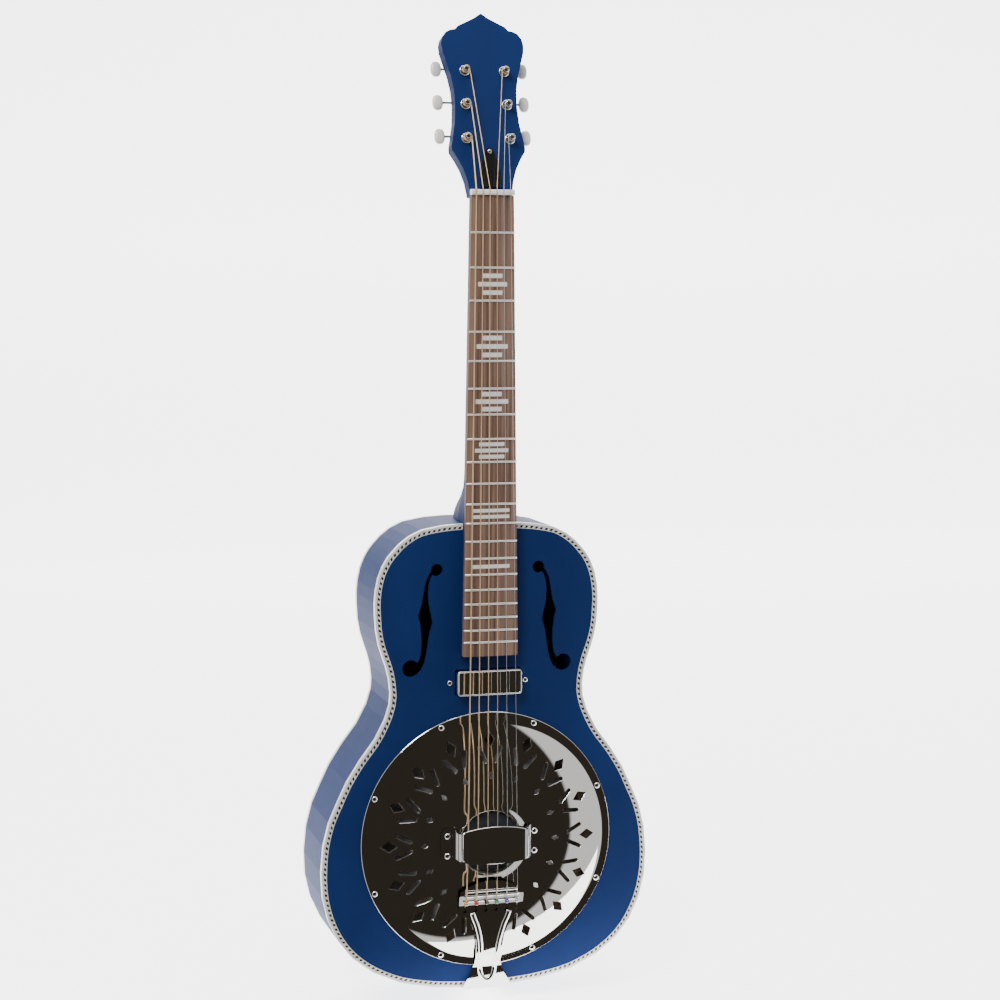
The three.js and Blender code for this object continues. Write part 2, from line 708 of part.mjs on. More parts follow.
function tunerPlate(side) {
  const centre = (s) => 21.6 - ((s - 55.7) * 2) / 66.6;
  const corner = (s, offset) => [side * (centre(s) + offset), s];
  const outline = [corner(44.5, -6), corner(47, -8), corner(137, -8), corner(139.5, -6),
    corner(139.5, 6), corner(137, 8), corner(47, 8), corner(44.5, 6)];
  const back = -HEAD_THICK - GAP;
  let plate = solid(block(outline, back - 1, back));
  for (const { x, s } of POSTS) {
    if (Math.sign(x) !== side) continue;
    plate = plate.subtract(solid(block(circle(x, s, 3.5, 12), -30, 0)));
    for (const offset of [-6.6, 5.4]) {
      const inner = Math.abs(x) + offset;
      const [low, high] = [side * inner, side * (inner + 1.2)].sort((a, b) => a - b);
      const ear = box(low, high, s + WORM_OFFSET - 2.6, s + WORM_OFFSET + 2.6, -20.4, back - 0.5);
      const bore = rod(1.55, low - 1, high + 1, 8).rotateZ(-Math.PI / 2)
        .translate(0, s + WORM_OFFSET, -WORM_DEPTH);
      plate = plate.add(solid(ear)).subtract(solid(bore));
    }
  }
  return plate;
}

function tunerPost(x, s) {
  const profile = [
    [0, 10.6], [2.5, 10.6], [3.1, 10], [3.1, 8.4], [2.7, 7.9], [2.7, 3.2], [3.1, 2.7], [3.1, -15.7],
    [1.6, -15.7], [1.6, -21], [0, -21],
  ];
  const barrel = solid(turned(profile, 10).rotateX(Math.PI / 2));
  const teeth = [];
  for (let k = 0; k < 20; k++) {
    const radius = k % 2 ? 3.6 : 3.15;
    const angle = (k / 20) * 2 * Math.PI;
    teeth.push([radius * Math.cos(angle), radius * Math.sin(angle)]);
  }
  const gear = solid(block(teeth, -19.8, -15.6));
  const bore = solid(rod(0.9, -8, 8, 6).rotateZ(-Math.PI / 2).translate(0, 0, 5.6));
  return geometryOf(barrel.add(gear).subtract(bore)).translate(x, s, 0);
}

// shaft with the worm at the post and the oval button outside the head
function tunerButton(x, s) {
  const side = Math.sign(x);
  const post = Math.abs(x);
  const profile = [[0, post - 7.6], [1.2, post - 7.6], [1.2, post - 4.8]];
  for (let k = 0; k < 4; k++) profile.push([1.8, post - 4.2 + k * 2.2], [2.35, post - 3.1 + k * 2.2]);
  profile.push([1.2, post + 4.5], [1.2, 39.5], [0, 39.5]);
  const shaft = solid(turned(profile, 8).rotateZ(-Math.PI / 2));
  const oval = solid(new THREE.SphereGeometry(1, 10, 7).scale(5.1, 7.7, 3).translate(43.2, 0, 0));
  const whole = geometryOf(shaft.add(oval));
  if (side < 0) whole.rotateZ(Math.PI);
  return whole.translate(0, s + WORM_OFFSET, -WORM_DEPTH);
}

function bushing(x, s) {
  const profile = [[3.5, 1.9], [4.8, 1.8], [5.25, 1], [5.25, GAP], [4.3, GAP], [4.3, -5], [3.5, -5]];
  return turned(closed(profile), 12).rotateX(Math.PI / 2).translate(x, s, 0);
}

function addTuners() {
  add('tuner_plate_bass', tunerPlate(-1), NICKEL, head);
  add('tuner_plate_treble', tunerPlate(1), NICKEL, head);
  POSTS.forEach(({ x, s }, i) => {
    add(`tuner_post_${i + 1}`, tunerPost(x, s), NICKEL, head);
    add(`tuner_button_${i + 1}`, tunerButton(x, s), IVORY, head);
    add(`tuner_bushing_${i + 1}`, bushing(x, s), CHROME, head);
  });
}

// ---- strings --------------------------------------------------------------

// string i runs from its ball end over the saddle and nut onto its post
function stringPath(i) {
  const radius = STRING_RADII[i];
  const x = tailX(i);
  const path = [];
  const push = (at, r = radius) => path.push({ at, radius: r });
  push(new THREE.Vector3(x, -19.1, -689.4), 1.2);
  push(new THREE.Vector3(x, -19.1, -689), 1.8);
  push(new THREE.Vector3(x, -19.15, -686.4), 1.8);
  push(new THREE.Vector3(x, -19.2, -686), radius);
  push(new THREE.Vector3(x, -19.75 - radius, -678));
  push(new THREE.Vector3(x, -19.8 - radius, -672));
  push(new THREE.Vector3(saddleX(i), SADDLE_STRING_Y, CONE_Z));
  push(stringLine(i, 0.2));
  push(new THREE.Vector3(nutX(i), NUT_STRING_Y + 0.1, 5.4));
  windOn(i, push);
  return path;
}

function windOn(i, push) {
  const post = POSTS[i];
  const radius = STRING_RADII[i];
  const side = Math.sign(post.x);
  const reach = 2.7 + GAP + radius;
  let across = post.x - side * reach;
  let up = post.s;
  for (let k = 0; k < 4; k++) {
    const dx = across - nutX(i);
    const ds = up - 5.5;
    const length = Math.hypot(dx, ds);
    across = post.x - (side * reach * ds) / length;
    up = post.s + (side * reach * dx) / length;
  }
  const start = Math.atan2(up - post.s, across - post.x);
  const turns = 2;
  const steps = 8 * turns;
  for (let k = 0; k <= steps; k++) {
    const share = k / steps;
    const angle = start - side * share * turns * 2 * Math.PI;
    const drop = share * turns * (2 * radius + GAP);
    push(onHead(post.x + reach * Math.cos(angle), post.s + reach * Math.sin(angle), 7.1 - drop));
  }
}

function addStrings() {
  for (let i = 0; i < 6; i++) {
    add(`string_${i + 1}`, wire(stringPath(i), 5), i < 2 ? STEEL : BRONZE);
  }
}

addBody();
addResonator();
addFittings();
addNeck();
addTuners();
addStrings();

export default root;
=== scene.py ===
# Looks for a resonator guitar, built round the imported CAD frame. Metres, +Z up the neck,
# soundboard facing -Y, +X on the treble side; the frame's origin is behind the nut.
import json
import math
import bmesh
import bpy
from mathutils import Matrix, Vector
from mathutils.bvhtree import BVHTree


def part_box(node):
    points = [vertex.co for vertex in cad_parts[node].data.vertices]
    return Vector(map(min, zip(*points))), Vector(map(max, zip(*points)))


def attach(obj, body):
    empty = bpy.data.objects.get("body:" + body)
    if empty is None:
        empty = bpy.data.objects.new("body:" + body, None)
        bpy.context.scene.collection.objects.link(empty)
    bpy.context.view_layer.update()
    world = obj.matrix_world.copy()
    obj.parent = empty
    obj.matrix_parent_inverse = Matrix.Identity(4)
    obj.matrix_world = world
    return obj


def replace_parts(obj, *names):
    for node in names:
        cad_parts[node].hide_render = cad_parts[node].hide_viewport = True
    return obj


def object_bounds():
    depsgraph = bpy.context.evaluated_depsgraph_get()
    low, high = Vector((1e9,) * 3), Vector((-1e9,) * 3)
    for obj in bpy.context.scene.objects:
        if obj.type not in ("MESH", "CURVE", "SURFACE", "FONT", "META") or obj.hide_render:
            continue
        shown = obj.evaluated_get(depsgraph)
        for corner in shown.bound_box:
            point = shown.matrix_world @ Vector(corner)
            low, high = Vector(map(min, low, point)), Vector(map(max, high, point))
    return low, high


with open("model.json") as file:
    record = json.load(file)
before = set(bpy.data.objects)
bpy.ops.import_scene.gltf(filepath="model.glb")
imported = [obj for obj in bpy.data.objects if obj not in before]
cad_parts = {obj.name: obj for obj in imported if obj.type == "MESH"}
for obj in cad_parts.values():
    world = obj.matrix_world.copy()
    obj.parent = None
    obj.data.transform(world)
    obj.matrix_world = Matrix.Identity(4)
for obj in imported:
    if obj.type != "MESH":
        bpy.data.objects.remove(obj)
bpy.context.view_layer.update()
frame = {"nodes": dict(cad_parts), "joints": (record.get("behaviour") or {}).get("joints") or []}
NODES = frame["nodes"]
MM = 0.001

# places read from the frame
board_lo, board_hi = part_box("fingerboard")
top_lo, top_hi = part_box("soundboard")
cover_lo, cover_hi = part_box("coverplate")
FACE_Y = top_lo.y
NUT_Z = board_hi.z
CONE_Z = (cover_lo.z + cover_hi.z) / 2
SCALE = NUT_Z - CONE_Z
TILT = math.radians(13)


def at(x, y, z):
    """Millimetres from the centre line, the soundboard's face and the nut's front edge."""
    return Vector((x * MM, FACE_Y + y * MM, NUT_Z + z * MM))


def on_head(x, s, out):
    return at(x, -5.5 + s * math.sin(TILT) - out * math.cos(TILT), s * math.cos(TILT) + out * math.sin(TILT))


# ---- materials -----------------------------------------------------------

def material(name, color, rough=0.4, metal=0.0, coat=0.0, vary=0.06, grain=(30, 30, 30), bump=0.0,
             bump_size=400.0, rough_vary=0.08, dark=None, coat_rough=0.1, specular=0.5):
    """Principled surface whose colour and roughness drift gently, with a fine bump."""
    m = bpy.data.materials.new(name)
    m.use_nodes = True
    tree = m.node_tree
    n, link = tree.nodes, tree.links
    shader = n["Principled BSDF"]
    shader.inputs["Metallic"].default_value = metal
    shader.inputs["Specular IOR Level"].default_value = specular
    shader.inputs["Coat Weight"].default_value = coat
    shader.inputs["Coat Roughness"].default_value = coat_rough
    coord = n.new("ShaderNodeTexCoord")
    scale = n.new("ShaderNodeMapping")
    scale.inputs["Scale"].default_value = grain
    link.new(coord.outputs["Object"], scale.inputs["Vector"])
    noise = n.new("ShaderNodeTexNoise")
    noise.inputs["Scale"].default_value = 1.0
    noise.inputs["Detail"].default_value = 5.0
    link.new(scale.outputs["Vector"], noise.inputs["Vector"])
    ramp = n.new("ShaderNodeValToRGB")
    low = dark or tuple(c * (1 - vary) for c in color)
    high = color if dark else tuple(min(1, c * (1 + vary)) for c in color)
    ramp.color_ramp.elements[0].position = 0.35
    ramp.color_ramp.elements[0].color = (*low, 1)
    ramp.color_ramp.elements[1].position = 0.65
    ramp.color_ramp.elements[1].color = (*high, 1)
    link.new(noise.outputs["Fac"], ramp.inputs["Fac"])
    link.new(ramp.outputs["Color"], shader.inputs["Base Color"])
    span = n.new("ShaderNodeMapRange")
    span.inputs["To Min"].default_value = max(0.0, rough * (1 - rough_vary))
    span.inputs["To Max"].default_value = rough * (1 + rough_vary)
    link.new(noise.outputs["Fac"], span.inputs["Value"])
    link.new(span.outputs["Result"], shader.inputs["Roughness"])
    if bump:
        fine = n.new("ShaderNodeTexNoise")
        fine.inputs["Scale"].default_value = bump_size
        fine.inputs["Detail"].default_value = 3.0
        link.new(coord.outputs["Object"], fine.inputs["Vector"])
        relief = n.new("ShaderNodeBump")
        relief.inputs["Strength"].default_value = bump
        relief.inputs["Distance"].default_value = 0.0002
        link.new(fine.outputs["Fac"], relief.inputs["Height"])
        link.new(relief.outputs["Normal"], shader.inputs["Normal"])
    return m


BLUE = material("blue_lacquer", (0.0085, 0.026, 0.120), 0.55, specular=0.12, vary=0.12, grain=(9, 9, 5), bump=0.04,
                bump_size=900)
# painted shade: the biscuit gets a dark grey-navy colour that holds the shade it sits in under the handrest
BISCUIT_SHADE = material("dark_lacquer", (0.030, 0.035, 0.050), 0.4, specular=0.4, vary=0.15, grain=(20, 160, 160), bump=0.1)
CREAM = material("binding", (0.93, 0.91, 0.86), 0.35, coat=0.3, vary=0.03, bump=0.03)
LINE = material("purfling_white", (0.82, 0.80, 0.74), 0.4, vary=0.04)
SPRUCE = material("spruce", (0.70, 0.50, 0.29), 0.6, grain=(220, 220, 8), dark=(0.50, 0.33, 0.17), bump=0.3)
MAHOGANY = material("mahogany", (0.32, 0.15, 0.07), 0.6, grain=(160, 160, 10), dark=(0.18, 0.08, 0.04), bump=0.3)
MAPLE = material("maple", (0.68, 0.50, 0.30), 0.5, grain=(20, 150, 150), dark=(0.55, 0.38, 0.21), bump=0.2)
BONE = material("bone", (0.93, 0.91, 0.87), 0.3, coat=0.3, vary=0.03, grain=(90, 300, 300), bump=0.05)
BUTTON = material("button_cream", (0.91, 0.88, 0.81), 0.28, coat=0.5, vary=0.05, grain=(60, 60, 160), bump=0.04)
BLACK = material("black_plastic", (0.010, 0.010, 0.011), 0.22, coat=0.4, vary=0.2, bump=0.03)
CHROME = material("chrome", (0.83, 0.82, 0.80), 0.035, metal=1, vary=0.01, rough_vary=0.5, grain=(60, 60, 60))
NICKEL = material("nickel", (0.60, 0.57, 0.52), 0.22, metal=1, vary=0.06, rough_vary=0.3, grain=(90, 90, 90),
                  bump=0.05)
STEEL = material("steel", (0.42, 0.42, 0.42), 0.38, metal=1, vary=0.08, rough_vary=0.3, bump=0.1)
CONE = material("cone_aluminium", (0.66, 0.67, 0.68), 0.34, metal=1, vary=0.07, rough_vary=0.3, bump=0.15)
WIRE = material("steel_wire", (0.80, 0.79, 0.77), 0.4, metal=0.6, vary=0.04)
FRET = material("fret_wire", (0.86, 0.85, 0.82), 0.38, metal=0.75, vary=0.03)
PEARL = material("inlay", (0.93, 0.92, 0.89), 0.3, coat=0.3, vary=0.05, grain=(150, 150, 90))


def rosewood():
    """Oiled rosewood: long streaks up the neck with dark pores."""
    m = material("rosewood", (0.30, 0.185, 0.135), 0.42, grain=(330, 330, 5.5), dark=(0.105, 0.060, 0.046),
                 bump=0.0, rough_vary=0.2)
    n, link = m.node_tree.nodes, m.node_tree.links
    shader = n["Principled BSDF"]
    coord = n.new("ShaderNodeTexCoord")
    scale = n.new("ShaderNodeMapping")
    scale.inputs["Scale"].default_value = (1500, 1500, 60)
    link.new(coord.outputs["Object"], scale.inputs["Vector"])
    pores = n.new("ShaderNodeTexNoise")
    pores.inputs["Scale"].default_value = 1.0
    link.new(scale.outputs["Vector"], pores.inputs["Vector"])
    relief = n.new("ShaderNodeBump")
    relief.inputs["Strength"].default_value = 0.35
    relief.inputs["Distance"].default_value = 0.0002
    link.new(pores.outputs["Fac"], relief.inputs["Height"])
    link.new(relief.outputs["Normal"], shader.inputs["Normal"])
    return m


ROSEWOOD = rosewood()


def wound():
    """Phosphor bronze winding: fine turns across the string."""
    m = material("bronze_wire", (0.92, 0.66, 0.38), 0.45, metal=0.55, vary=0.05)
    n, link = m.node_tree.nodes, m.node_tree.links
    coord = n.new("ShaderNodeTexCoord")
    wave = n.new("ShaderNodeTexWave")
    wave.bands_direction = "Z"
    wave.inputs["Scale"].default_value = 900
    link.new(coord.outputs["Object"], wave.inputs["Vector"])
    relief = n.new("ShaderNodeBump")
    relief.inputs["Strength"].default_value = 0.12
    relief.inputs["Distance"].default_value = 0.0001
    link.new(wave.outputs["Fac"], relief.inputs["Height"])
    link.new(relief.outputs["Normal"], n["Principled BSDF"].inputs["Normal"])
    return m


BRONZE = wound()


def dashes():
    """Rope purfling: black and white blocks along the strip's length, slightly slanted."""
    m = material("rope_purfling", (0.80, 0.78, 0.72), 0.4, vary=0.03)
    n, link = m.node_tree.nodes, m.node_tree.links
    uv = n.new("ShaderNodeUVMap")
    uv.uv_map = "run"
    parts = n.new("ShaderNodeSeparateXYZ")
    link.new(uv.outputs["UV"], parts.inputs["Vector"])
    slant = n.new("ShaderNodeMath")
    slant.operation = "MULTIPLY_ADD"
    slant.inputs[1].default_value = 0.25
    link.new(parts.outputs["Y"], slant.inputs[0])
    link.new(parts.outputs["X"], slant.inputs[2])
    wrap = n.new("ShaderNodeMath")
    wrap.operation = "FRACT"
    link.new(slant.outputs["Value"], wrap.inputs[0])
    dark = n.new("ShaderNodeMath")
    dark.operation = "LESS_THAN"
    dark.inputs[1].default_value = 0.5
    link.new(wrap.outputs["Value"], dark.inputs[0])
    mix = n.new("ShaderNodeMix")
    mix.data_type = "RGBA"
    mix.inputs["A"].default_value = (0.80, 0.78, 0.72, 1)
    mix.inputs["B"].default_value = (0.012, 0.012, 0.012, 1)
    link.new(dark.outputs["Value"], mix.inputs["Factor"])
    link.new(mix.outputs["Result"], n["Principled BSDF"].inputs["Base Color"])
    return m


ROPE = dashes()


# ---- mesh helpers --------------------------------------------------------

def piece(name, verts, faces, mat, body="guitar", smooth=35):
    mesh = bpy.data.meshes.new(name)
    mesh.from_pydata([tuple(v) for v in verts], [], faces)
    mesh.update()
    return dress(name, mesh, mat, body, smooth)


def dress(name, mesh, mat, body="guitar", smooth=35):
    if not mesh.materials:
        mesh.materials.append(mat)
    if smooth:
        mesh.shade_smooth()
        mesh.set_sharp_from_angle(angle=math.radians(smooth))
    obj = bpy.data.objects.new(name, mesh)
    bpy.context.scene.collection.objects.link(obj)
    if body:
        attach(obj, body)
    return obj


def lathe(profile, count, place, axis=Vector((0, 1, 0))):
    """Vertices and faces of a turned shape: profile is (radius, height along axis) in millimetres."""
    side = axis.orthogonal().normalized()
    up = axis.cross(side)
    verts, faces, rings = [], [], []
    for r, h in profile:
        if r < 1e-6:
            rings.append([len(verts)])
            verts.append(place + axis * h * MM)
            continue
        ring = []
        for k in range(count):
            a = 2 * math.pi * k / count
            ring.append(len(verts))
            verts.append(place + axis * h * MM + (side * math.cos(a) + up * math.sin(a)) * r * MM)
        rings.append(ring)
    for a, b in zip(rings, rings[1:]):
        for k in range(count):
            j = (k + 1) % count
            quad = [a[k % len(a)], a[j % len(a)], b[j % len(b)], b[k % len(b)]]
            quad = [v for i, v in enumerate(quad) if v != quad[i - 1]]
            if len(quad) > 2:
                faces.append(quad)
    return verts, faces


def prism(outline, low, high, to_world):
    """Flat outline between two heights; to_world(x, y, h) places a point."""
    count = len(outline)
    verts = [to_world(x, y, low) for x, y in outline] + [to_world(x, y, high) for x, y in outline]
    faces = [list(range(count))[::-1], list(range(count, 2 * count))]
    for k in range(count):
        j = (k + 1) % count
        faces.append([k, j, count + j, count + k])
    return verts, faces


def joined(groups):
    verts, faces = [], []
    for v, f in groups:
        base = len(verts)
        verts += v
        faces += [[i + base for i in face] for face in f]
    return verts, faces


def facing_out(mesh):
    bm = bmesh.new()
    bm.from_mesh(mesh)
    bmesh.ops.remove_doubles(bm, verts=bm.verts, dist=1e-7)
    bmesh.ops.recalc_face_normals(bm, faces=bm.faces)
    bm.to_mesh(mesh)
    bm.free()


def solid(name, groups, mat, body="guitar", smooth=35, bevel=0.0, segments=2):
    verts, faces = joined(groups)
    mesh = bpy.data.meshes.new(name)
    mesh.from_pydata([tuple(v) for v in verts], [], faces)
    mesh.materials.append(mat)
    facing_out(mesh)
    obj = dress(name, mesh, mat, body, smooth)
    if bevel:
        soften(obj, bevel, segments)
    return obj


def soften(obj, width, segments=2, angle=35):
    mod = obj.modifiers.new("edge", "BEVEL")
    mod.width = width * MM
    mod.segments = segments
    mod.limit_method = "ANGLE"
    mod.angle_limit = math.radians(angle)
    mod.harden_normals = True
    mod.use_clamp_overlap = True


def cad(node, mat, bevel=0.0, smooth=35, segments=2):
    """Carries a CAD node over with a finish, smooth where it is round and softened at its edges."""
    obj = NODES[node]
    obj.data.materials.clear()
    obj.data.materials.append(mat)
    obj.data.shade_smooth()
    obj.data.set_sharp_from_angle(angle=math.radians(smooth))
    if bevel:
        soften(obj, bevel, segments)
    return obj


# ---- body ----------------------------------------------------------------

cad("soundboard", BLUE, 0.35)
cad("back", BLUE, 0.35)
for name in ("rim_bass", "rim_treble"):
    cad(name, BLUE, 0, 30)
for name in ("top_binding", "back_binding"):
    cad(name, CREAM, 0.4)
for name in ("lining_top", "lining_back", "back_brace_upper", "back_brace_lower"):
    cad(name, SPRUCE, 0.5)
for name in ("neck_block", "tail_block"):
    cad(name, MAHOGANY, 0.5)
cad("soundwell", MAPLE, 0.3)


def wall_edges():
    """Front edges of the binding's side walls, as pairs of (x, z) points."""
    mesh = NODES["top_binding"].data
    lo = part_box("top_binding")[0].y
    keep = {i for i, v in enumerate(mesh.vertices) if v.co.y < lo + 1e-5}
    ring = []
    for poly in mesh.polygons:
        if abs(poly.normal.y) > 0.5:
            continue
        inside = [i for i in poly.vertices if i in keep]
        if len(inside) == 2:
            ring.append([(round(mesh.vertices[i].co.x, 6), round(mesh.vertices[i].co.z, 6)) for i in inside])
    return ring


def loops():
    """Outer and inner outline of the binding as ordered point lists."""
    after = {}
    for a, b in wall_edges():
        after.setdefault(a, []).append(b)
        after.setdefault(b, []).append(a)
    found = []
    unseen = set(after)
    while unseen:
        here = max(unseen, key=lambda p: (p[1], p[0]))
        path = [here]
        unseen.discard(here)
        while True:
            nexts = [p for p in after[path[-1]] if p in unseen]
            if not nexts:
                break
            step = max(nexts, key=lambda p: p[0]) if len(path) == 1 else nexts[0]
            path.append(step)
            unseen.discard(step)
        found.append(path)
    return sorted(found, key=lambda path: -max(p[0] for p in path))


def rounded(path, cuts=3):
    """Closed Catmull-Rom curve through the path."""
    out = []
    count = len(path)
    for i in range(count):
        p0, p1, p2, p3 = (Vector(path[(i + k) % count]) for k in (-1, 0, 1, 2))
        for c in range(cuts):
            t = c / cuts
            out.append(0.5 * ((2 * p1) + (p2 - p0) * t + (2 * p0 - 5 * p1 + 4 * p2 - p3) * t * t
                              + (3 * p1 - p0 - 3 * p2 + p3) * t ** 3))
    return out


def shrunk(path, distance):
    """The closed path moved inwards by a distance in millimetres."""
    out = []
    count = len(path)
    for i in range(count):
        run = (path[(i + 1) % count] - path[i - 1]).normalized()
        out.append(path[i] + Vector((run.y, -run.x)) * distance * MM)
    return out


def clockwise(path):
    area = sum(a[0] * b[1] - b[0] * a[1] for a, b in zip(path, path[1:] + path[:1]))
    return path if area < 0 else [path[0]] + path[:0:-1]


RIM = rounded([Vector(p) for p in clockwise(loops()[0])])


def ribbon(name, start, width, mat, proud, period=None):
    """Flat inlaid strip round the top, from start to start + width inside the edge."""
    a, b = shrunk(RIM, start), shrunk(RIM, start + width)
    count = len(RIM)
    top = FACE_Y - proud * MM
    low = FACE_Y + 0.2 * MM
    verts = [Vector((p.x, top, p.y)) for p in a] + [Vector((p.x, top, p.y)) for p in b]
    verts += [Vector((p.x, low, p.y)) for p in a] + [Vector((p.x, low, p.y)) for p in b]
    faces = []
    for k in range(count):
        j = (k + 1) % count
        faces.append([k, j, count + j, count + k])
        faces.append([2 * count + k, 3 * count + k, 3 * count + j, 2 * count + j])
        faces.append([k, 2 * count + k, 2 * count + j, j])
        faces.append([count + k, count + j, 3 * count + j, 3 * count + k])
    mesh = bpy.data.meshes.new(name)
    mesh.from_pydata([tuple(v) for v in verts], [], faces)
    mesh.materials.append(mat)
    if period:
        uv = mesh.uv_layers.new(name="run")
        run, lengths = 0.0, []
        for k in range(count):
            lengths.append(run)
            run += (a[(k + 1) % count] - a[k]).length
        turns = round(run / (period * MM))
        for poly in mesh.polygons:
            base = poly.index // 4
            for loop in poly.loop_indices:
                v = mesh.loops[loop].vertex_index % (2 * count)
                k = v % count
                along = lengths[k] if not (k == 0 and base == count - 1) else run
                uv.data[loop].uv = (along / run * turns, 0.0 if v < count else 1.0)
    return dress(name, mesh, mat, "guitar", 30)


ribbon("purfling_rope", 2.75, 2.1, ROPE, 0.06, period=5.2)
ribbon("purfling_line", 4.95, 0.75, LINE, 0.05)


# ---- resonator -----------------------------------------------------------

cad("cone", CONE, 0.0, 50)
# the biscuit's dark colour is painted shade from under the handrest
cad("biscuit", BISCUIT_SHADE, 0.4)
cad("saddle", MAPLE, 0.2)

def dome_profile():
    """Front side of the coverplate: flat flange, shallow dome and a low collar."""
    points = [(127.2, 1.0), (126.8, 1.45), (126.2, 1.5), (119.6, 1.5)]
    for k in range(25):
        r = 119 - k * 3.1
        points.append((r, 13.2 - 11.6 * ((r - 40) / 79) ** 2.7))
    points += [(42, 13.2), (39.6, 13.28), (38.2, 13.45), (36.6, 13.9), (34.6, 14.5), (32.6, 15.05), (32.0, 15.15),
               (31.6, 14.9)]
    return points


def hole_cutters():
    diamond = [(5.2, 0), (0, 8), (-5.2, 0), (0, -8)]
    small = [(2.6, 0), (0.5, 3.4), (0, 3.6), (-0.5, 3.4), (-2.6, 0), (-0.5, -3.4), (0, -3.6), (0.5, -3.4)]
    slot = []
    for k in range(7):
        a = math.pi * k / 6
        slot.append((2.0 * math.cos(a), 7.0 + 2.0 * math.sin(a)))
    for k in range(7):
        a = math.pi * (1 + k / 6)
        slot.append((2.0 * math.cos(a), -7.0 + 2.0 * math.sin(a)))
    groups = []

    def cut(outline, radius, turn, lean=0.0):
        c, s = math.cos(lean), math.sin(lean)
        ct, st = math.cos(turn), math.sin(turn)

        def place(x, y, h):
            u, v = x * c + y * s, y * c - x * s + radius
            return Vector(((u * ct + v * st) * MM, FACE_Y + h * MM, CONE_Z + (v * ct - u * st) * MM))
        groups.append(prism(outline, -40, 8, place))

    for i in range(16):
        turn = math.radians(22.5 * i)
        cut(diamond, 101, turn)
        cut(small, 66.5, turn)
        cut(slot, 87, turn + math.radians(5.2), math.radians(20.5))
        cut(slot, 87, turn - math.radians(5.2), -math.radians(20.5))
    return groups


def coverplate():
    profile = dome_profile()
    back = [(r, max(h - 1.0, 0.32)) for r, h in reversed(profile)]
    ring = [(r, -h) for r, h in profile + back] + [(profile[0][0], -profile[0][1])]
    centre = Vector((0, FACE_Y, CONE_Z))
    sheet = solid("coverplate_fine", [lathe(ring, 160, centre)], CHROME, None, 0)
    cutter = solid("cutter", hole_cutters(), CHROME, None, 0)
    cut = sheet.modifiers.new("holes", "BOOLEAN")
    cut.object = cutter
    cut.operation = "DIFFERENCE"
    cut.solver = "EXACT"
    lip = sheet.modifiers.new("lip", "BEVEL")
    lip.width = 0.28 * MM
    lip.segments = 1
    lip.limit_method = "ANGLE"
    lip.angle_limit = math.radians(50)
    bpy.context.view_layer.update()
    done = bpy.data.meshes.new_from_object(sheet.evaluated_get(bpy.context.evaluated_depsgraph_get()))
    bpy.data.objects.remove(cutter)
    bpy.data.objects.remove(sheet)
    normals = []
    corner = {}
    for poly in done.polygons:
        for loop in poly.loop_indices:
            co = done.vertices[done.loops[loop].vertex_index].co
            dx, dz = co.x, co.z - CONE_Z
            r = math.hypot(dx, dz)
            key = round(r / MM, 1)
            if key not in corner:
                corner[key] = smooth_slope(profile, r / MM)
            nr, out = corner[key]
            front = Vector((nr * dx / r, -out, nr * dz / r))
            if poly.normal.dot(front) > 0.93:
                normals.append(front)
            elif poly.normal.dot(front) < -0.93:
                normals.append(-front)
            else:
                normals.append(poly.normal.copy())
    done.name = "coverplate_fine"
    done.materials.clear()
    done.materials.append(CHROME)
    done.shade_smooth()
    done.normals_split_custom_set([tuple(v) for v in normals])
    obj = dress("coverplate_fine", done, CHROME, "guitar", 0)
    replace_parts(obj, "coverplate")
    return obj


def smooth_slope(profile, r):
    """Front normal at radius r in millimetres, blended between the profile's stretches."""
    mids = []
    for (r0, h0), (r1, h1) in zip(profile, profile[1:]):
        slope = Vector((h1 - h0, r0 - r1)).normalized()
        if r0 - r1 > 5:
            mids += [(r0 - 0.3, slope), (r1 + 0.3, slope)]
        elif r0 - r1 > 0.05:
            mids.append(((r0 + r1) / 2, slope))
    if r >= mids[0][0]:
        return mids[0][1]
    for (ra, na), (rb, nb) in zip(mids, mids[1:]):
        if rb <= r <= ra:
            t = (ra - r) / (ra - rb)
            return na.lerp(nb, t).normalized()
    return mids[-1][1]


coverplate()
cad("handrest", CHROME, 0, 30)


def rim(name, outline, out, radius):
    """Rounded edge round a flat top: a thin closed tube along an (x, z) outline."""
    spots = [at(x, out, z) for x, z in outline]
    count, around = len(spots), 10
    verts, faces = [], []
    for k, spot in enumerate(spots):
        run = (spots[(k + 1) % count] - spots[k - 1]).normalized()
        side = run.cross(Vector((0, 1, 0))).normalized()
        for j in range(around):
            a = 2 * math.pi * j / around
            verts.append(spot + (side * math.cos(a) + Vector((0, 1, 0)) * math.sin(a)) * radius * MM)
    for k in range(count):
        for j in range(around):
            i = (j + 1) % around
            n = (k + 1) % count
            faces.append([k * around + j, k * around + i, n * around + i, n * around + j])
    solid(name, [(verts, faces)], CHROME, "guitar", 80)


def middle_of(node):
    lo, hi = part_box(node)
    return (lo.x + hi.x) / 2 / MM, (lo.z + hi.z - 2 * NUT_Z) / 2 / MM


_, rest_z = middle_of("handrest")
edge = [(-33.2, 12.9), (-30, 14.3), (-26, 15.2), (-20, 16.3), (-14, 17.1), (-7, 17.6), (0, 17.8)]
edge += [(-x, z) for x, z in reversed(edge[:-1])]
edge += [(x, -z) for x, z in reversed(edge)]
rim("handrest_edge", [(x, rest_z + z) for x, z in edge], -30.6, 0.9)


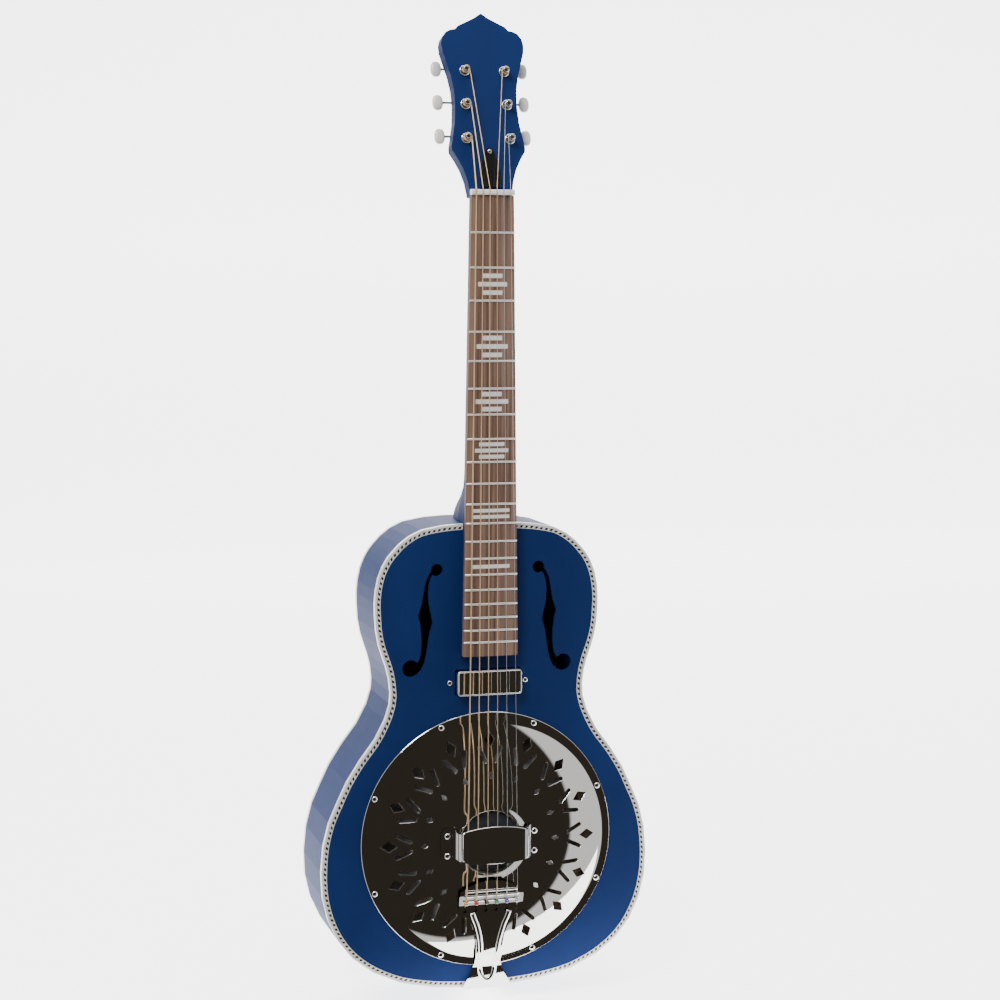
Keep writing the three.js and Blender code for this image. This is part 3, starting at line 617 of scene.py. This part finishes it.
def phillips(name, place, head, body="guitar", axis=Vector((0, -1, 0)), mat=CHROME):
    """Domed screw head with a cross cut in it, standing on place along axis."""
    dome = [(head, 0.0), (head, 0.35), (head * 0.93, 0.75), (head * 0.75, 1.12), (head * 0.45, 1.38), (0, 1.5)]
    obj = solid(name, [lathe([(0, 0)] + dome, 28, place, axis)], mat, None, 40)
    side = axis.orthogonal().normalized()
    up = axis.cross(side)
    bars = []
    for u, v in ((side, up), (up, side)):
        def put(x, y, h, u=u, v=v):
            return place + (u * x + v * y + axis * h) * MM
        half, thin = head * 0.52, head * 0.14
        bars.append(prism([(half, thin), (-half, thin), (-half, -thin), (half, -thin)], 0.75, 2.5, put))
    cutter = solid(name + "_cut", bars, mat, None, 0)
    cut = obj.modifiers.new("cross", "BOOLEAN")
    cut.object = cutter
    cut.solver = "EXACT"
    cut.use_self = True
    bpy.context.view_layer.update()
    done = bpy.data.meshes.new_from_object(obj.evaluated_get(bpy.context.evaluated_depsgraph_get()))
    bpy.data.objects.remove(cutter)
    bpy.data.objects.remove(obj)
    done.materials.clear()
    done.materials.append(mat)
    return dress(name, done, mat, body, 40)


def node_screw(node, head):
    lo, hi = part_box(node)
    seat = Vector(((lo.x + hi.x) / 2, lo.y + 1.8 * MM, (lo.z + hi.z) / 2))
    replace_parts(phillips(node + "_head", seat, head), node)


for number in range(1, 5):
    node_screw(f"handrest_screw_{number}", 2.9)
for node in ("pickup_screw_bass", "pickup_screw_treble"):
    node_screw(node, 2.6)
for k in range(8):
    a = math.radians(22.5 + 45 * k)
    place = Vector((123 * MM * math.sin(a), FACE_Y - 1.5 * MM, CONE_Z + 123 * MM * math.cos(a)))
    phillips(f"coverplate_screw_{k + 1}", place, 2.9)

# ---- tailpiece, jack, pickup ----------------------------------------------

SHEET = BVHTree.FromPolygons([v.co for v in NODES["tailpiece"].data.vertices],
                             [p.vertices[:] for p in NODES["tailpiece"].data.polygons])
cad("tailpiece", CHROME, 0.6, 40, 3)


def pressed(x, z):
    """Front face of the tailpiece at a place: the point and its outward normal."""
    spot, normal, _, _ = SHEET.ray_cast(at(x, -60, z), Vector((0, 1, 0)))
    return spot, normal


def bead(path, half, proud):
    """Rounded rib pressed out of the tailpiece's sheet along an (x, z) path."""
    spots = [pressed(x, z) for x, z in path]
    rings = []
    for k, (spot, normal) in enumerate(spots):
        before, after = spots[max(k - 1, 0)][0], spots[min(k + 1, len(spots) - 1)][0]
        side = (after - before).cross(normal).normalized()
        narrow = 0.35 if k in (0, len(spots) - 1) else 1.0
        ring = [spot + (side * math.cos(a) * half + normal * math.sin(a) * proud * narrow) * MM
                for a in [math.pi * j / 10 for j in range(11)]]
        foot = side * half * 0.9
        rings.append(ring + [spot - (foot + normal * 0.3) * MM, spot + (foot - normal * 0.3) * MM])
    count = len(rings[0])
    verts = [p for ring in rings for p in ring]
    faces = [list(range(count))[::-1], [len(verts) - count + k for k in range(count)]]
    for i in range(len(rings) - 1):
        for k in range(count):
            j = (k + 1) % count
            faces.append([i * count + k, i * count + j, (i + 1) * count + j, (i + 1) * count + k])
    return verts, faces


def curve(points, cuts=5):
    """Open Catmull-Rom curve through the points."""
    ends = [points[0]] + points + [points[-1]]
    out = []
    for p0, p1, p2, p3 in zip(ends, ends[1:], ends[2:], ends[3:]):
        p0, p1, p2, p3 = (Vector(p) for p in (p0, p1, p2, p3))
        for c in range(cuts):
            t = c / cuts
            out.append(0.5 * ((2 * p1) + (p2 - p0) * t + (2 * p0 - 5 * p1 + 4 * p2 - p3) * t * t
                              + (3 * p1 - p0 - 3 * p2 + p3) * t ** 3))
    return [tuple(p) for p in out] + [tuple(points[-1])]


lyre = [(18.8, -698), (16.8, -704), (13.2, -713), (9.8, -727), (8.2, -742), (7.7, -756), (6.2, -765), (3.4, -769.5)]
lyre = curve(lyre + [(0, -771)] + [(-x, z) for x, z in reversed(lyre)])
solid("tailpiece_lyre", [bead(lyre, 2.5, 1.5)], CHROME, "guitar", 60)
ridges = [bead([(x * 2, z) for x in range(-reach, reach + 1)], 1.3, 0.7)
          for z, reach in ((-685.5, 14), (-680.5, 14), (-675.5, 13))]
solid("tailpiece_ridges", ridges, CHROME, "guitar", 60)
cad("end_pin_jack", NICKEL, 0.25, 40)
cad("pickup_cover", CHROME, 0, 40)
_, pickup_z = middle_of("pickup_cover")
edge = []
for quarter, (x, z) in enumerate(((29.2, 8.9), (-29.2, 8.9), (-29.2, -8.9), (29.2, -8.9))):
    for k in range(6):
        a = math.radians(90 * quarter + 18 * k)
        edge.append((x + 2.6 * math.cos(a), pickup_z + z + 2.6 * math.sin(a)))
rim("pickup_edge", edge, -7.95, 0.85)
cad("pickup_base", STEEL, 0.3)

BALLS = {"brass": (0.62, 0.40, 0.12), "red": (0.45, 0.02, 0.02), "black": (0.012, 0.012, 0.012),
         "green": (0.02, 0.26, 0.13), "purple": (0.13, 0.06, 0.36), "silver": (0.62, 0.62, 0.62)}
for number, (name, color) in zip(range(6, 0, -1), BALLS.items()):
    lo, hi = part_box(f"string_{number}")
    mesh = NODES[f"string_{number}"].data
    low = [v.co for v in mesh.vertices if v.co.z < lo.z + 4 * MM]
    mid = sum((Vector(c) for c in low), Vector()) / len(low)
    mid.z = lo.z + 1.9 * MM
    mat = material(f"ball_{name}", color, 0.25, metal=1.0 if name in ("brass", "silver") else 0.4, coat=0.3)
    ball = [(0, -2.0), (1.2, -2.0), (1.75, -1.6), (2.0, -1.0), (1.7, -0.5), (1.7, 0.5), (2.0, 1.0), (1.75, 1.6),
            (1.2, 2.0), (0, 2.0)]
    solid(f"ball_end_{number}", [lathe(ball, 20, mid, Vector((1, 0, 0)))], mat, "guitar",
          40)

for number in range(1, 7):
    cad(f"string_{number}", WIRE if number < 3 else BRONZE, 0, 80)

# ---- neck ----------------------------------------------------------------

cad("neck", BLUE, 0.8, 35, 3)
cad("nut", BONE, 0.3)
cad("truss_rod", STEEL)
cad("truss_rod_cover", BLACK, 0.35, 35, 3)
pin = phillips("truss_cover_screw_head", on_head(0, 42.7, 2.4), 2.2, "guitar",
               Vector((0, -math.cos(TILT), math.sin(TILT))), NICKEL)
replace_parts(pin, "truss_cover_screw")

BOARD_BACK = board_hi.y
BOARD_FRONT = board_lo.y


def board_half(z):
    """Half the board's width in millimetres at z millimetres below the nut."""
    end = (board_hi.x - board_lo.x) / 2 / MM
    length = (board_hi.z - board_lo.z) / MM
    return 21.25 + (end - 21.25) * z / length


def fingerboard():
    length = (board_hi.z - board_lo.z) / MM
    back = (BOARD_BACK - FACE_Y) / MM
    front = (BOARD_FRONT - FACE_Y) / MM + 1.05
    rings, count = [], 0
    for z in (0, 0.5, length / 2, length - 0.6, length):
        w = board_half(z) - (0.4 if z in (0, length) else 0)
        drop = 0.45
        ring = [(w, back), (w, front + drop + 0.5), (w - 0.15, front + drop + 0.15), (w - 0.6, front + drop)]
        for k in range(1, 8):
            t = 1 - k / 4
            ring.append(((w - 0.6) * t, front + drop * t * t))
        ring += [(-(w - 0.6), front + drop), (-(w - 0.15), front + drop + 0.15), (-w, front + drop + 0.5), (-w, back)]
        count = len(ring)
        rings.append([at(x, y, -z) for x, y in ring])
    verts = [p for ring in rings for p in ring]
    faces = [list(range(count))[::-1], [len(verts) - count + k for k in range(count)]]
    for i in range(len(rings) - 1):
        for k in range(count):
            j = (k + 1) % count
            faces.append([i * count + k, i * count + j, (i + 1) * count + j, (i + 1) * count + k])
    board = solid("fingerboard_fine", [(verts, faces)], ROSEWOOD, "guitar", 30)
    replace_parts(board, "fingerboard")
    wires = []
    crown = [(-1.0, 0.15), (-0.95, -0.35), (-0.65, -0.8), (-0.25, -1.0), (0.25, -1.0), (0.65, -0.8), (0.95, -0.35),
             (1.0, 0.15)]
    for number in range(1, 21):
        z = SCALE / MM * (1 - 2 ** (-number / 12))
        w = board_half(z)
        sections = []
        for t in (-1, -0.985, -0.6, -0.2, 0.2, 0.6, 0.985, 1):
            trim = 0.55 if abs(t) == 1 else 1.0
            sections.append([at(w * t, front + 0.45 * t * t + y * trim, -z + dz * trim) for dz, y in crown])
        verts = [p for ring in sections for p in ring]
        n = len(crown)
        faces = [list(range(n))[::-1], [len(verts) - n + k for k in range(n)]]
        for i in range(len(sections) - 1):
            for k in range(n):
                j = (k + 1) % n
                faces.append([i * n + k, i * n + j, (i + 1) * n + j, (i + 1) * n + k])
        wires.append((verts, faces))
    solid("frets", wires, FRET, "guitar", 50)
    inlay(front)


def inlay(front):
    """Stacked white bars at frets 3, 5, 7 and 9, two at 12 and one at 15."""
    rows = {3: ((19.6, 28.8, 19.6), 4.2, 8.0), 5: ((19.7, 31.0, 19.7), 4.4, 8.1),
            7: ((19.5, 32.5, 19.5), 4.4, 7.2), 9: ((25.3, 33.4, 25.3), 3.7, 6.0),
            12: ((36.2, 36.2), 3.4, 6.0), 15: ((37.0,), 3.6, 0.0)}
    bars = []
    for number, (widths, tall, pitch) in rows.items():
        low = SCALE / MM * (1 - 2 ** (-(number - 1) / 12))
        high = SCALE / MM * (1 - 2 ** (-number / 12))
        middle = (low + high) / 2
        for k, width in enumerate(widths):
            z = middle + (k - (len(widths) - 1) / 2) * pitch
            top, bottom = [], []
            steps = 8
            for j in range(steps + 1):
                x = width * (j / steps - 0.5)
                y = front + 0.45 * (x / board_half(z)) ** 2
                top.append((x, y - 0.06))
                bottom.append((x, y + 0.4))
            ring = top + bottom[::-1]
            n = len(ring)
            verts = [at(x, y, -(z - tall / 2)) for x, y in ring] + [at(x, y, -(z + tall / 2)) for x, y in ring]
            faces = [list(range(n))[::-1], list(range(n, 2 * n))]
            for i in range(n):
                j = (i + 1) % n
                faces.append([i, j, n + j, n + i])
            bars.append((verts, faces))
    solid("position_inlays", bars, PEARL, "guitar", 30)


fingerboard()

# ---- tuners --------------------------------------------------------------

for side in ("bass", "treble"):
    cad(f"tuner_plate_{side}", NICKEL, 0.2)

NORMAL = Vector((0, -math.cos(TILT), math.sin(TILT)))
UP = Vector((0, math.sin(TILT), math.cos(TILT)))


def tuner(number):
    joints = {j["name"]: j for j in frame["joints"]}
    post_at = Vector(joints[f"post_spin_{number}"]["pos_m"])
    shaft_at = Vector(joints[f"button_spin_{number}"]["pos_m"])
    side = 1 if post_at.x > 0 else -1
    profile = [(0, 10.6), (0.5, 10.6), (2.3, 10.55), (2.8, 10.3), (3.08, 9.8), (3.1, 8.6), (2.95, 8.2), (2.72, 7.8),
               (2.7, 3.3), (2.85, 3.0), (3.1, 2.7), (3.1, -15.7), (1.6, -15.7), (1.6, -21), (0, -21)]
    post = solid(f"post_{number}", [lathe(profile, 28, post_at, NORMAL)], NICKEL, f"post_{number}", 40)
    gear = []
    for k in range(28):
        r = 3.58 if k % 2 else 3.15
        for shift in (-0.35, 0.35):
            a = 2 * math.pi * (k + shift) / 28
            gear.append((r * math.cos(a), r * math.sin(a)))

    def place(x, y, h):
        return post_at + (Vector((1, 0, 0)) * x + UP * y + NORMAL * h) * MM
    solid(f"gear_{number}", [prism(gear, -19.8, -15.6, place)], STEEL, f"post_{number}", 30)
    # painted shade: a thin black bar laid on the post's top stands in for the dark inside its slot; no slot is cut
    slot_shade_bar = [prism([(2.2, 0.35), (-2.2, 0.35), (-2.2, -0.35), (2.2, -0.35)], 10.55, 10.62, place)]
    solid(f"post_slot_shade_{number}", slot_shade_bar, BLACK, f"post_{number}", 0)
    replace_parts(post, f"tuner_post_{number}")
    ring = [(3.45, 1.2), (3.6, 1.75), (4.0, 1.9), (4.6, 1.85), (5.05, 1.5), (5.25, 1.0), (5.25, 0.3), (4.3, 0.3),
            (4.3, -5), (3.45, -5), (3.45, 1.2)]
    collar = solid(f"bushing_{number}", [lathe(ring, 32, post_at, NORMAL)], CHROME, "guitar", 40)
    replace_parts(collar, f"tuner_bushing_{number}")
    away = Vector((side, 0, 0))
    zero = Vector((0, shaft_at.y, shaft_at.z))
    p = abs(post_at.x) / MM
    turned = [(0, p - 7.6), (1.2, p - 7.6), (1.2, p - 4.6)]
    for k in range(7):
        turned += [(1.75, p - 4.3 + k * 1.25), (2.35, p - 3.85 + k * 1.25), (2.35, p - 3.6 + k * 1.25)]
    turned += [(1.75, p + 4.4), (1.2, p + 4.6), (1.2, 37.6), (1.9, 37.9), (2.0, 38.6), (1.6, 39.2), (0, 39.2)]
    solid(f"shaft_{number}", [lathe(turned, 20, zero, away)], STEEL, f"button_{number}", 40)
    verts, faces = [], []
    rows, cols = 16, 28
    for i in range(rows + 1):
        lat = math.pi * (i / rows - 0.5)
        for k in range(cols):
            lon = 2 * math.pi * k / cols
            e = 0.8
            c, s = math.cos(lat), math.sin(lat)
            cx, cz = math.cos(lon), math.sin(lon)
            x = 5.1 * c * math.copysign(abs(cx) ** e, cx)
            y = 7.6 * c * math.copysign(abs(cz) ** e, cz)
            h = 2.95 * math.copysign(abs(s) ** 0.62, s)
            verts.append(zero + away * 43.2 * MM + (away * x + UP * y + NORMAL * h) * MM)
    for i in range(rows):
        for k in range(cols):
            j = (k + 1) % cols
            faces.append([i * cols + k, i * cols + j, (i + 1) * cols + j, (i + 1) * cols + k])
    knob = solid(f"knob_{number}", [(verts, faces)], BUTTON, f"button_{number}", 60)
    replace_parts(knob, f"tuner_button_{number}")


for number in range(1, 7):
    tuner(number)


def plate_screws():
    """Round-head wood screws at the ends and between the tuners on each plate."""
    for side in (-1, 1):
        for number, s in enumerate((48, 78, 111, 136)):
            x = side * (21.6 - (s - 55.7) * 2 / 66.6 - 5.2)
            place = on_head(x, s, -14.8)
            phillips(f"plate_screw_{'b' if side < 0 else 't'}{number}", place, 1.7, "guitar", -NORMAL, NICKEL)


plate_screws()

# ---- stage ---------------------------------------------------------------

low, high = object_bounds()
floor_z = low.z - 0.002
WALL_Y, WALL_BEND, WALL_HIGH = 3.2, 0.8, 6.0
PAPER_LEFT, PAPER_RIGHT = -1.1, 4.6


def paper():
    """Pale sweep: a floor that curves up into the wall behind."""
    m = material("paper", (0.88, 0.88, 0.875), 0.85, vary=0.01, grain=(2, 2, 2))
    shader = m.node_tree.nodes["Principled BSDF"]
    shader.inputs["Emission Color"].default_value = (1.0, 1.0, 1.0, 1)
    shader.inputs["Emission Strength"].default_value = 3.4
    bend = [(WALL_Y, 0.0)]
    for k in range(1, 9):
        a = math.radians(90 * k / 8)
        bend.append((WALL_Y + WALL_BEND * math.sin(a), WALL_BEND - WALL_BEND * math.cos(a)))
    bend.append((WALL_Y + WALL_BEND, WALL_HIGH))
    # the slanted front edge stays out of the chrome's reflections
    verts, faces = [(PAPER_LEFT, 0.235, floor_z), (PAPER_RIGHT, -1.418, floor_z)], []
    for y, z in bend:
        verts += [(PAPER_LEFT, y, floor_z + z), (PAPER_RIGHT, y, floor_z + z)]
    for k in range(len(bend)):
        faces.append([2 * k, 2 * k + 1, 2 * k + 3, 2 * k + 2])
    sweep = piece("paper", verts, faces, m, None, 60)


def lamp(name, place, aim, size, size_y, power):
    data = bpy.data.lights.new(name, "AREA")
    data.shape = "RECTANGLE"
    data.size, data.size_y = size, size_y
    data.energy = power
    obj = bpy.data.objects.new(name, data)
    obj.location = place
    obj.rotation_euler = (Vector(aim) - Vector(place)).to_track_quat("-Z", "Y").to_euler()
    bpy.context.scene.collection.objects.link(obj)


paper()
middle = Vector((0, 0, (low.z + high.z) / 2))
lamp("key", (-1.5, -1.6, 1.9), middle, 1.0, 1.0, 75)
lamp("top", (0.2, -0.5, 2.2), middle, 1.4, 0.8, 16)

world = bpy.data.worlds.new("room")
bpy.context.scene.world = world
world.use_nodes = True
# the room is pale all round, with a dark patch in front for the chrome to reflect
room_nodes, room_link = world.node_tree.nodes, world.node_tree.links
facing = room_nodes.new("ShaderNodeVectorMath")
facing.operation = "DOT_PRODUCT"
facing.inputs[1].default_value = Vector((-0.17, -0.98, -0.03)).normalized()
room_link.new(room_nodes.new("ShaderNodeTexCoord").outputs["Generated"], facing.inputs[0])
shade = room_nodes.new("ShaderNodeValToRGB")
shade.color_ramp.elements[0].position = 0.690
shade.color_ramp.elements[0].color = (0.80, 0.80, 0.79, 1)
shade.color_ramp.elements[1].position = 0.715
shade.color_ramp.elements[1].color = (0.030, 0.025, 0.019, 1)
room_link.new(facing.outputs["Value"], shade.inputs["Fac"])
room_link.new(shade.outputs["Color"], room_nodes["Background"].inputs["Color"])

camera = bpy.data.objects.new("camera", bpy.data.cameras.new("camera"))
camera.data.lens = 78.9
camera.data.sensor_width = 36
camera.location = (-0.5831, -2.0446, -0.0749)
camera.rotation_euler = [math.radians(a) for a in (84.122, -0.300, -16.266)]
bpy.context.scene.collection.objects.link(camera)
bpy.context.scene.camera = camera
